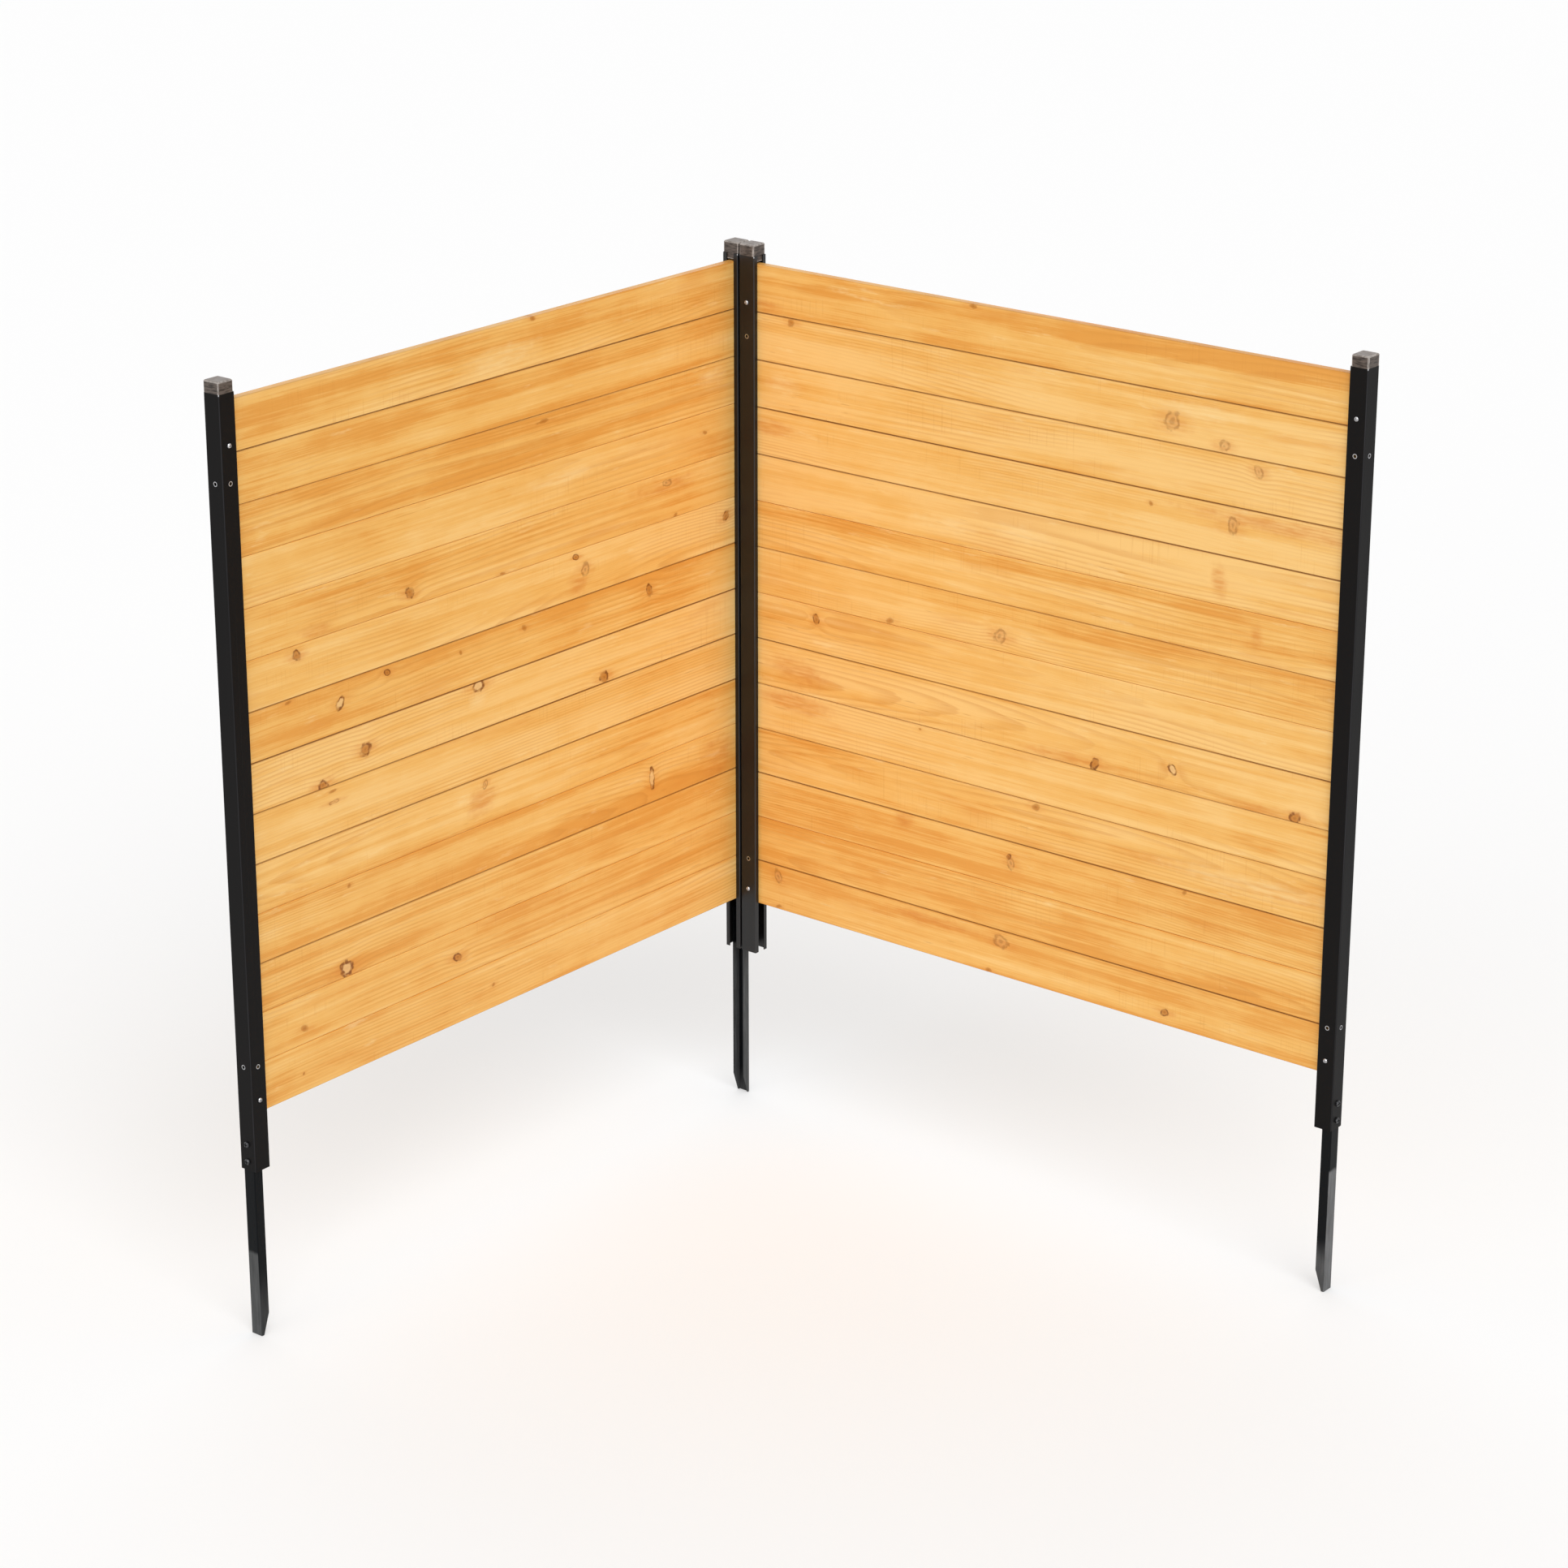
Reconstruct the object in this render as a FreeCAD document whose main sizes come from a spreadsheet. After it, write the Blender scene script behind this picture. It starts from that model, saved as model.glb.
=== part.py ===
"""Two-panel garden privacy screen: tongue-and-groove boards in steel posts on ground stakes.

Millimetres. +Z is up. The left panel runs along -Y from the corner and the right panel along +X.
The inner side of both is the one inside the corner, towards +X and -Y. The origin is the centre of
the bounding box, at the level of the stake tips.
"""
import FreeCAD, Part
import os
import re

import Sketcher

doc = FreeCAD.newDocument("privacy_screen")
dim = doc.addObject("Spreadsheet::Sheet", "Dim")

DIMENSIONS = {
    # one panel, from the outer face of one post to the outer face of the other
    "panel_width": 955,
    # posts: lipped channels of folded sheet, open towards the boards
    "post_depth": 25,
    "post_width": 25,
    "post_wall": 1.2,
    "post_lip": 6.5,
    "post_bend": 1.5,
    "corner_gap": 3,
    # boards
    "board_count": 14,
    "board_pitch": 64,
    "board_thickness": 11.4,
    "board_foot_rise": 73,
    "board_top_drop": 10,
    "board_end_gap": 6,
    "seam_gap": 0.4,
    "seam_bevel": 0.8,
    "tongue_height": 5,
    "tongue_thickness": 4,
    "tongue_side_clearance": 0.15,
    "tongue_tip_clearance": 0.3,
    # push-in caps
    "cap_height": 15,
    "cap_setback": 1.5,
    "cap_chamfer": 1.4,
    "cap_edge_radius": 2,
    "plug_depth": 8,
    "plug_wall": 2,
    "plug_clearance": 0.2,
    "plug_setback": 0.6,
    # screws through the inner flange of a post into its lowest and highest board
    "screw_top_drop": 52,
    "screw_bottom_rise": 20.5,
    "screw_shank": 3.2,
    "screw_length": 15,
    "screw_hole_clearance": 0.4,
    "screw_pilot_clearance": 0.05,
    "screw_pilot_spare": 0.5,
    "screw_head": 5.8,
    "screw_head_height": 2.2,
    # holes that join a post to the next post, in the web and in the inner flange
    "join_hole": 4.5,
    "join_top_drop": 97.5,
    "join_bottom_rise": 64.5,
    "corner_bolt_shank": 4,
    "corner_bolt_head": 7.4,
    "corner_bolt_head_height": 2.6,
    "corner_bolt_spare": 0.6,
    "corner_nut_flats": 7,
    "corner_nut_height": 3.2,
    "spacer_width": 9,
    # ground stakes: plain channels with slanted tips
    "stake_length": 280,
    "stake_reach": 225,
    "stake_web": 18,
    "stake_flange": 13.5,
    "stake_wall": 1.5,
    "stake_bend": 1.5,
    "stake_tip_height": 28,
    "stake_tip_flat": 4,
    "stake_bolt_rise": 11.5,
    "stake_bolt_spacing": 23,
    "stake_hole": 5.4,
    "stake_bolt_shank": 5,
    "stake_bolt_head": 8,
    "stake_bolt_head_height": 2.8,
    "stake_bolt_spare": 0.8,
    "stake_nut_flats": 8,
    "stake_nut_height": 4,
    # fastener details
    "thread_clearance": 0.05,
    "recess_depth": 1.3,
    "recess_width": 1.1,
    "recess_share": 0.62,
    "head_rim_share": 0.55,
    "head_top_share": 0.72,
}
for row, (alias, size) in enumerate(DIMENSIONS.items(), 1):
    dim.set(f"A{row}", alias)
    dim.set(f"B{row}", str(size))
    dim.setAlias(f"B{row}", alias)
doc.recompute()

EDGE_TOLERANCE = 1e-4
LEAST_CUT = 1e-4  # volume
INNER_SIDE = {"left": 1, "right": -1}  # the side of a panel's own Y axis that faces into the corner
PANEL_TURN = {"left": -90, "right": 0}
PANEL_AXES = {"left": (0, -1), "right": (1, 0)}  # cosine and sine of the turn
BOX_CENTRE_X = "(corner_gap + panel_width + stake_bolt_head_height)/2"
BOX_CENTRE_Y = "-panel_width/2"
PANEL_ORIGIN = {
    "left": (f"-({BOX_CENTRE_X})", f"-({BOX_CENTRE_Y})"),
    "right": (
        f"post_depth/2 + corner_gap - ({BOX_CENTRE_X})",
        f"-post_width/2 - ({BOX_CENTRE_Y})",
    ),
}
# heights above the foot of a post
BOARDS_TOP = "(board_foot_rise + board_count*board_pitch)"
POST_LENGTH = f"({BOARDS_TOP} + board_top_drop)"
JOIN_HEIGHTS = ("board_foot_rise + join_bottom_rise", f"{BOARDS_TOP} - join_top_drop")
SCREW_HEIGHTS = ("board_foot_rise + screw_bottom_rise", f"{BOARDS_TOP} - screw_top_drop")
STAKE_BOLT_HEIGHTS = ("stake_bolt_rise", "stake_bolt_rise + stake_bolt_spacing")
STAKE_NAMES = {
    ("left", "corner"): "corner",
    ("left", "outer"): "left_outer",
    ("right", "outer"): "right_outer",
}


def bound(text):
    """An expression over the sheet's cells, from one written with their bare names."""
    return re.sub(r"\b([a-z][a-z_]*)\b(?!\()", r"Dim.\1", text)


def number(text):
    """The value of an expression in the cells' bare names."""
    return float(dim.evalExpression(text))


def new_body(label):
    body = doc.addObject("PartDesign::Body", label)
    body.Label = label
    return body


def place(body, panel, along, across, up, turn=0):
    """Puts a body in a panel's own frame: along from the corner, across and up from the post's foot."""
    cosine, sine = PANEL_AXES[panel]
    origin_x, origin_y = PANEL_ORIGIN[panel]
    angle = PANEL_TURN[panel] + turn
    body.Placement = FreeCAD.Placement(
        FreeCAD.Vector(), FreeCAD.Rotation(FreeCAD.Vector(0, 0, 1), angle)
    )
    x = f"{origin_x} + ({cosine})*({along}) - ({sine})*({across})"
    y = f"{origin_y} + ({sine})*({along}) + ({cosine})*({across})"
    z = f"stake_reach + {up}"
    for axis, text in (("x", x), ("y", y), ("z", z)):
        body.setExpression(f"Placement.Base.{axis}", bound(text))


def new_sketch(body, name, role, offset="0"):
    """A sketch on one of the body's own origin planes, moved along that plane's normal."""
    sketch = body.newObject("Sketcher::SketchObject", f"{body.Name}_{name}")
    plane = next(f for f in body.Origin.OriginFeatures if f.Role == role)
    sketch.AttachmentSupport = [(plane, "")]
    sketch.MapMode = "FlatFace"
    sketch.setExpression("AttachmentOffset.Base.z", bound(offset))
    return sketch


def bind(sketch, kind, target, text):
    """A dimension that follows an expression."""
    index = sketch.addConstraint(Sketcher.Constraint(kind, *target, number(text)))
    name = f"size_{index}"
    sketch.renameConstraint(index, name)
    sketch.setExpression(f"Constraints.{name}", bound(text))


def mirrored(side):
    """A whole outline, from the corners of its right side, lowest first."""
    return side + [(f"-({x})", y) for x, y in reversed(side)]


def draw_polygon(sketch, points):
    """A closed outline whose corners are pairs of expressions."""
    corners = [FreeCAD.Vector(number(x), number(y), 0) for x, y in points]
    first = sketch.GeometryCount
    for start, end in zip(corners, corners[1:] + corners[:1]):
        sketch.addGeometry(Part.LineSegment(start, end))
    for k, (x, y) in enumerate(points):
        line = first + k
        following = first + (k + 1) % len(points)
        sketch.addConstraint(Sketcher.Constraint("Coincident", line, 2, following, 1))
        bind(sketch, "DistanceX", (line, 1), x)
        bind(sketch, "DistanceY", (line, 1), y)


def draw_circle(sketch, x, y, diameter):
    centre = FreeCAD.Vector(number(x), number(y), 0)
    circle = sketch.addGeometry(
        Part.Circle(centre, FreeCAD.Vector(0, 0, 1), number(diameter) / 2)
    )
    bind(sketch, "DistanceX", (circle, 3), x)
    bind(sketch, "DistanceY", (circle, 3), y)
    bind(sketch, "Radius", (circle,), f"({diameter})/2")


def extrude(body, kind, sketch, length, side="One side", down=False):
    """A Pad or a Pocket of the sketch."""
    feature = body.newObject(f"PartDesign::{kind}", f"{sketch.Name}_{kind}")
    feature.Profile = sketch
    feature.SideType = side
    feature.Reversed = down
    feature.setExpression("Length", bound(length))
    doc.recompute()


def rounded(body, kind, name, size, choose):
    """A Fillet or a Chamfer on the edges of the body so far that choose() accepts."""
    base = body.Tip
    edges = [f"Edge{k}" for k, edge in enumerate(base.Shape.Edges, 1) if choose(edge.BoundBox)]
    feature = body.newObject(f"PartDesign::{kind}", f"{body.Name}_{name}")
    feature.Base = (base, edges)
    feature.setExpression("Radius" if kind == "Fillet" else "Size", bound(size))
    doc.recompute()


def upright_at(x_values, y_values):
    """Accepts upright edges at the given places."""

    def choose(box):
        upright = box.ZLength > EDGE_TOLERANCE and box.XLength + box.YLength < EDGE_TOLERANCE
        at_x = any(abs(box.XMin - x) < EDGE_TOLERANCE for x in x_values)
        at_y = any(abs(box.YMin - y) < EDGE_TOLERANCE for y in y_values)
        return upright and at_x and at_y

    return choose


def flat_at(height):
    """Accepts edges that lie at the given height."""
    return lambda box: abs(box.ZMin - height) < EDGE_TOLERANCE and box.ZLength < EDGE_TOLERANCE


def channel(depth, width, wall, lip=None):
    """Outline of a folded channel that opens towards +X, with its web on the Y axis."""
    far = f"{depth}/2"
    if lip is None:
        side = [("0", far), (width, far), (width, f"{far} - {wall}"), (wall, f"{far} - {wall}")]
    else:
        side = [
            ("0", far),
            (width, far),
            (width, f"{far} - {lip}"),
            (f"{width} - {wall}", f"{far} - {lip}"),
            (f"{width} - {wall}", f"{far} - {wall}"),
            (wall, f"{far} - {wall}"),
        ]
    return side + [(x, f"-({y})") for x, y in reversed(side)]


def make_post(panel, spot):
    """A post stands with its web outwards. Its local +X points to the boards."""
    body = new_body(f"{panel}_{spot}_post")
    inner = INNER_SIDE[panel] if spot == "corner" else -INNER_SIDE[panel]
    profile = new_sketch(body, "profile", "XY_Plane")
    draw_polygon(profile, channel("post_depth", "post_width", "post_wall", "post_lip"))
    extrude(body, "Pad", profile, POST_LENGTH)
    half = number("post_depth/2")
    folds = upright_at((0, number("post_width")), (-half, half))
    rounded(body, "Fillet", "folds", "post_bend", folds)

    # the plane's normal points to -Y, so an offset towards the inner flange changes sign
    flange = f"{-inner}*(post_depth - post_wall)/2"
    flange_holes = new_sketch(body, "flange_holes", "XZ_Plane", flange)
    for up in SCREW_HEIGHTS:
        draw_circle(flange_holes, "post_width/2", up, "screw_shank + screw_hole_clearance")
    for up in JOIN_HEIGHTS:
        draw_circle(flange_holes, "post_width/2", up, "join_hole")
    extrude(body, "Pocket", flange_holes, "2*post_wall", "Symmetric")

    web_holes = new_sketch(body, "web_holes", "YZ_Plane", "post_wall/2")
    for up in JOIN_HEIGHTS:
        draw_circle(web_holes, "0", up, "join_hole")
    if (panel, spot) in STAKE_NAMES:
        for up in STAKE_BOLT_HEIGHTS:
            draw_circle(web_holes, "0", up, "stake_hole")
    extrude(body, "Pocket", web_holes, "2*post_wall", "Symmetric")
    stand_at_post(body, panel, spot, "0", "0")
    return body


def stand_at_post(body, panel, spot, inwards, up):
    """Puts a body in a post's own frame, inwards from the outer face of its web."""
    if spot == "corner":
        place(body, panel, inwards, "0", up)
    else:
        place(body, panel, f"panel_width - ({inwards})", "0", up, 180)


def make_cap(panel, spot):
    """A moulded block that covers the end of a post, with a hollow plug inside the channel."""
    body = new_body(f"{panel}_{spot}_cap")
    end = "(post_width - cap_setback)"
    block = new_sketch(body, "block", "XY_Plane")
    draw_polygon(
        block,
        [("0", "-post_depth/2"), (end, "-post_depth/2"), (end, "post_depth/2"), ("0", "post_depth/2")],
    )
    extrude(body, "Pad", block, "cap_height")
    half = number("post_depth/2")
    corners = upright_at((0, number(end)), (-half, half))
    rounded(body, "Fillet", "corners", "cap_edge_radius", corners)
    rounded(body, "Chamfer", "rim", "cap_chamfer", flat_at(number("cap_height")))

    plug = new_sketch(body, "plug", "XY_Plane")
    for inset in ("0", "plug_wall"):
        near = f"post_wall + plug_clearance + {inset}"
        far = f"{end} - plug_setback - {inset}"
        side = f"(post_depth/2 - post_wall - plug_clearance - {inset})"
        draw_polygon(
            plug, [(near, f"-{side}"), (far, f"-{side}"), (far, side), (near, side)]
        )
    extrude(body, "Pad", plug, "plug_depth", down=True)
    stand_at_post(body, panel, spot, "0", POST_LENGTH)
    return body


def make_stake(panel, spot):
    """A channel behind the web of a post, open the same way, with its flanges cut to a point."""
    body = new_body(f"{STAKE_NAMES[panel, spot]}_stake")
    profile = new_sketch(body, "profile", "XY_Plane")
    draw_polygon(profile, channel("stake_web", "stake_flange", "stake_wall"))
    extrude(body, "Pad", profile, "stake_length")
    half = number("stake_web/2")
    rounded(body, "Fillet", "folds", "stake_bend", upright_at((0,), (-half, half)))

    tip = new_sketch(body, "tip", "XZ_Plane")
    draw_polygon(
        tip, [("stake_tip_flat", "0"), ("stake_flange", "0"), ("stake_flange", "stake_tip_height")]
    )
    extrude(body, "Pocket", tip, "2*stake_web", "Symmetric")
    holes = new_sketch(body, "holes", "YZ_Plane", "stake_wall/2")
    for up in STAKE_BOLT_HEIGHTS:
        draw_circle(holes, "0", f"stake_reach + {up}", "stake_hole")
    extrude(body, "Pocket", holes, "2*stake_wall", "Symmetric")
    stand_at_post(body, panel, spot, "post_wall", "-stake_reach")
    return body


def make_board(panel, index):
    """A board with a tongue on its top edge and a groove under it. The top board has no tongue."""
    body = new_body(f"{panel}_board_{index + 1:02d}")
    top = "(board_pitch - seam_gap)"
    half = "board_thickness/2"
    tongue = "tongue_thickness/2"
    groove = f"({tongue} + tongue_side_clearance)"
    groove_top = "tongue_height - seam_gap + tongue_tip_clearance"
    side = [
        (groove, groove_top),
        (groove, "0"),
        (f"{half} - seam_bevel", "0"),
        (half, "seam_bevel"),
        (half, f"{top} - seam_bevel"),
        (f"{half} - seam_bevel", top),
    ]
    if index < number("board_count") - 1:
        side += [(tongue, top), (tongue, f"{top} + tongue_height")]
    profile = new_sketch(body, "profile", "YZ_Plane")
    draw_polygon(profile, mirrored(side))
    extrude(body, "Pad", profile, "panel_width - 2*(post_wall + board_end_gap)")

    for up in SCREW_HEIGHTS:
        rise = f"{up} - board_foot_rise - {index}*board_pitch"
        if 0 < number(rise) < number("board_pitch"):
            drill_board(body, INNER_SIDE[panel], rise)
    inset = "post_wall + board_end_gap"
    place(body, panel, inset, "0", f"board_foot_rise + {index}*board_pitch")
    return body


def drill_board(body, inner, rise):
    """Pilot holes for the screws of both posts, from the inner face."""
    pilot = new_sketch(body, "pilots", "XZ_Plane", f"{-inner}*board_thickness/2")
    inset = "post_width/2 - post_wall - board_end_gap"
    far = f"panel_width - 2*(post_wall + board_end_gap) - ({inset})"
    for along in (inset, far):
        draw_circle(pilot, along, rise, "screw_shank + 2*screw_pilot_clearance")
    depth = "screw_length - (post_depth - board_thickness)/2 + screw_pilot_spare"
    extrude(body, "Pocket", pilot, f"2*({depth})", "Symmetric")


def repeat_upwards(body, spacing):
    """A second copy of the whole shape straight above the first."""
    pattern = body.newObject("PartDesign::LinearPattern", f"{body.Name}_pair")
    pattern.TransformMode = "Whole shape"
    axis = next(f for f in body.Origin.OriginFeatures if f.Role == "Z_Axis")
    pattern.Direction = (axis, [""])
    pattern.Occurrences = 2
    pattern.setExpression("Length", bound(spacing))
    body.Tip = pattern
    doc.recompute()


def make_bolts(label, shank, length, head, head_height, spacing):
    """Two pan-head screws on parallel axes. Local +X points out of the head, and X 0 is its seat."""
    body = new_body(label)
    body.AllowCompound = True
    turned = new_sketch(body, "turned", "XZ_Plane")
    draw_polygon(
        turned,
        [
            (f"-({length})", "0"),
            (f"-({length})", f"{shank}/2"),
            ("0", f"{shank}/2"),
            ("0", f"{head}/2"),
            (f"{head_height}*head_rim_share", f"{head}/2"),
            (head_height, f"{head}/2*head_top_share"),
            (head_height, "0"),
        ],
    )
    revolution = body.newObject("PartDesign::Revolution", f"{label}_revolution")
    revolution.Profile = turned
    revolution.ReferenceAxis = (turned, ["H_Axis"])
    doc.recompute()

    recess = new_sketch(body, "recess", "YZ_Plane", head_height)
    arm = f"{head}/2*recess_share"
    slot = "recess_width/2"
    half_cross = [
        (slot, f"-({arm})"),
        (slot, f"-({slot})"),
        (arm, f"-({slot})"),
        (arm, slot),
        (slot, slot),
        (slot, arm),
    ]
    draw_polygon(recess, mirrored(half_cross))
    extrude(body, "Pocket", recess, "2*recess_depth", "Symmetric")
    repeat_upwards(body, spacing)
    return body


def make_rings(label, bore, height, spacing, outline=None, width=None):
    """Two nuts or spacers on parallel axes. They lie on X 0 and reach towards +X."""
    body = new_body(label)
    body.AllowCompound = True
    section = new_sketch(body, "section", "YZ_Plane")
    if outline:
        draw_polygon(section, outline)
    else:
        draw_circle(section, "0", "0", width)
    draw_circle(section, "0", "0", bore)
    extrude(body, "Pad", section, height)
    repeat_upwards(body, spacing)
    return body


def hexagon(flats):
    """The outline of a nut that stands on a corner."""
    half = f"{flats}/2"
    shoulder = f"{flats}/2/sqrt(3)"
    tip = f"{flats}/sqrt(3)"
    right = [(half, f"-({shoulder})"), (half, shoulder)]
    left = [(f"-({half})", shoulder), (f"-({half})", f"-({shoulder})")]
    return right + [("0", tip)] + left + [("0", f"-({tip})")]


def make_board_screws(panel, spot):
    """Screws from the inner face of a post into its lowest and highest board."""
    body = make_bolts(
        f"{panel}_{spot}_board_screws",
        "screw_shank",
        "screw_length",
        "screw_head",
        "screw_head_height",
        f"{SCREW_HEIGHTS[1]} - ({SCREW_HEIGHTS[0]})",
    )
    inner = INNER_SIDE[panel]
    along = "post_width/2" if spot == "corner" else "panel_width - post_width/2"
    place(body, panel, along, f"{inner}*post_depth/2", SCREW_HEIGHTS[0], 90 * inner)
    return body


def make_stake_bolts(panel, spot):
    """Bolts from outside a post's web through the stake."""
    body = make_bolts(
        f"{STAKE_NAMES[panel, spot]}_stake_bolts",
        "stake_bolt_shank",
        "post_wall + stake_wall + stake_nut_height + stake_bolt_spare",
        "stake_bolt_head",
        "stake_bolt_head_height",
        "stake_bolt_spacing",
    )
    along, turn = ("0", 180) if spot == "corner" else ("panel_width", 0)
    place(body, panel, along, "0", "stake_bolt_rise", turn)
    return body


def make_stake_nuts(panel, spot):
    """Nuts inside the stake, on the bolts' ends."""
    body = make_rings(
        f"{STAKE_NAMES[panel, spot]}_stake_nuts",
        "stake_bolt_shank + 2*thread_clearance",
        "stake_nut_height",
        "stake_bolt_spacing",
        outline=hexagon("stake_nut_flats"),
    )
    stand_at_post(body, panel, spot, "post_wall + stake_wall", "stake_bolt_rise")
    return body


def make_corner_joint():
    """Bolts from inside the right corner post into nuts behind the left corner post's flange."""
    spacing = f"{JOIN_HEIGHTS[1]} - ({JOIN_HEIGHTS[0]})"
    foot = JOIN_HEIGHTS[0]
    bolts = make_bolts(
        "corner_bolts",
        "corner_bolt_shank",
        "2*post_wall + corner_gap + corner_nut_height + corner_bolt_spare",
        "corner_bolt_head",
        "corner_bolt_head_height",
        spacing,
    )
    place(bolts, "right", "post_wall", "0", foot)
    bore = "corner_bolt_shank + 2*thread_clearance"
    spacers = make_rings("corner_spacers", bore, "corner_gap", spacing, width="spacer_width")
    place(spacers, "right", "-corner_gap", "0", foot)
    nuts = make_rings(
        "corner_nuts", bore, "corner_nut_height", spacing, outline=hexagon("corner_nut_flats")
    )
    place(nuts, "right", "-corner_gap - post_wall", "0", foot, 180)
    return [bolts, spacers, nuts]


nodes = []
for panel in ("left", "right"):
    for spot in ("corner", "outer"):
        nodes.append(make_post(panel, spot))
        nodes.append(make_cap(panel, spot))
        nodes.append(make_board_screws(panel, spot))
    for index in range(int(number("board_count"))):
        nodes.append(make_board(panel, index))
for panel, spot in STAKE_NAMES:
    nodes.append(make_stake(panel, spot))
    nodes.append(make_stake_bolts(panel, spot))
    nodes.append(make_stake_nuts(panel, spot))
nodes += make_corner_joint()
doc.recompute()

for item in doc.Objects:
    if {"Invalid", "Error"} & set(item.State):
        raise RuntimeError(f"{item.Name} failed: {item.State}")
    if item.TypeId == "PartDesign::Pocket":
        if item.Shape.Volume >= item.BaseFeature.Shape.Volume - LEAST_CUT:
            raise RuntimeError(f"{item.Name} cuts nothing")
for node in nodes:
    if node.Shape.isNull() or not node.Shape.isValid():
        raise RuntimeError(f"{node.Label} has no valid shape")

os.makedirs("parts", exist_ok=True)
for node in nodes:
    node.Shape.exportStep(f"parts/{node.Label}.step")
    box = node.Shape.BoundBox
    print(node.Label, len(node.Shape.Solids), round(node.Shape.Volume, 1), box)
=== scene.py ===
"""Looks of the garden privacy screen: stained boards, powder-coated posts and stakes, a plain studio.

Metres, in the model's own frame. The left panel runs along -Y and the right panel along +X.
"""

import math
import random

import bpy
from mathutils import Euler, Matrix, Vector


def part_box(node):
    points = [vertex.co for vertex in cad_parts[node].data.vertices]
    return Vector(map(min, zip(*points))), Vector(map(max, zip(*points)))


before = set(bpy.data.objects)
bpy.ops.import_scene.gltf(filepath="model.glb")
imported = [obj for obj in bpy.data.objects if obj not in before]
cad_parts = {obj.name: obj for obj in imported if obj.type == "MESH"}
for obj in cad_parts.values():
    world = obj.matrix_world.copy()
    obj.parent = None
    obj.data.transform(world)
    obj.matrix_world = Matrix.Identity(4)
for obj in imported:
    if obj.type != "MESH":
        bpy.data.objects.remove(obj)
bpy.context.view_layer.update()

MM = 0.001


# node building -----------------------------------------------------------------------------

NOISE_RANGE = (0.3, 0.7)  # where nearly all of a noise lies


class Tree:
    """A material's node tree, with one short method per kind of node."""

    def __init__(self, name):
        self.material = bpy.data.materials.new(name)
        self.material.use_nodes = True
        self.nodes = self.material.node_tree.nodes
        self.links = self.material.node_tree.links
        self.nodes.clear()
        output = self.nodes.new("ShaderNodeOutputMaterial")
        self.surface = output.inputs["Surface"]

    def put(self, value, socket):
        """A link if the value is a socket, or else the socket's own value."""
        if isinstance(value, bpy.types.NodeSocket):
            self.links.new(value, socket)
        elif value is not None:
            socket.default_value = value

    def math(self, operation, a, b=None, c=None):
        node = self.nodes.new("ShaderNodeMath")
        node.operation = operation
        for socket, value in zip(node.inputs, (a, b, c)):
            self.put(value, socket)
        return node.outputs[0]

    def times(self, a, b):
        return self.math("MULTIPLY", a, b)

    def minus(self, a, b):
        return self.math("SUBTRACT", a, b)

    def plus(self, rest, value, weight):
        """The rest, and the value times its weight."""
        return self.math("MULTIPLY_ADD", value, weight, rest)

    def position(self):
        """The object's own X, Y and Z, which are the model's, because every CAD mesh keeps its place."""
        coordinates = self.nodes.new("ShaderNodeTexCoord")
        split = self.nodes.new("ShaderNodeSeparateXYZ")
        self.links.new(coordinates.outputs["Object"], split.inputs[0])
        return split.outputs[0], split.outputs[1], split.outputs[2]

    def vector(self, x, y, z):
        node = self.nodes.new("ShaderNodeCombineXYZ")
        for socket, value in zip(node.inputs, (x, y, z)):
            self.put(value, socket)
        return node.outputs[0]

    def noise(self, place, scale=1.0, detail=2.0, roughness=0.5):
        node = self.nodes.new("ShaderNodeTexNoise")
        self.put(place, node.inputs["Vector"])
        node.inputs["Scale"].default_value = scale
        node.inputs["Detail"].default_value = detail
        node.inputs["Roughness"].default_value = roughness
        return node.outputs["Fac"]

    def stretched(self, place, cells, seed, **kind):
        """Noise with that many cells per metre along each axis."""
        scaled = [self.plus(seed, along, count) for along, count in zip(place, cells)]
        return self.noise(self.vector(*scaled), **kind)

    def step(self, value, low, high, to_low=0.0, to_high=1.0):
        """A smooth change from to_low to to_high as value goes from low to high."""
        node = self.nodes.new("ShaderNodeMapRange")
        node.interpolation_type = "SMOOTHSTEP"
        for socket, number in zip(node.inputs, (value, low, high, to_low, to_high)):
            self.put(number, socket)
        return node.outputs[0]

    def fade(self, value, low, high):
        """1 below low and 0 above high."""
        return self.step(value, low, high, 1.0, 0.0)

    def spread(self, noise, to_low, to_high):
        """A noise made to range from to_low to to_high."""
        return self.step(noise, *NOISE_RANGE, to_low, to_high)

    def mix(self, share, a, b):
        """Colour a, with that share of colour b over it."""
        node = self.nodes.new("ShaderNodeMix")
        node.data_type = "RGBA"
        self.put(share, node.inputs["Factor"])
        for socket, value in ((node.inputs[6], a), (node.inputs[7], b)):
            self.put(value if isinstance(value, bpy.types.NodeSocket) else (*value, 1.0), socket)
        return node.outputs[2]

    def bump(self, height, distance, strength):
        node = self.nodes.new("ShaderNodeBump")
        node.inputs["Distance"].default_value = distance
        node.inputs["Strength"].default_value = strength
        self.links.new(height, node.inputs["Height"])
        return node.outputs[0]

    def finish(self, colour, roughness, normal, **constants):
        """The shader. A constant's name is its socket's, with _ for each space."""
        shader = self.nodes.new("ShaderNodeBsdfPrincipled")
        self.put(colour, shader.inputs["Base Color"])
        self.put(roughness, shader.inputs["Roughness"])
        self.put(normal, shader.inputs["Normal"])
        for name, value in constants.items():
            self.put(value, shader.inputs[name.replace("_", " ")])
        self.links.new(shader.outputs[0], self.surface)
        return self.material


# places read off the photograph ------------------------------------------------------------

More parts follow.
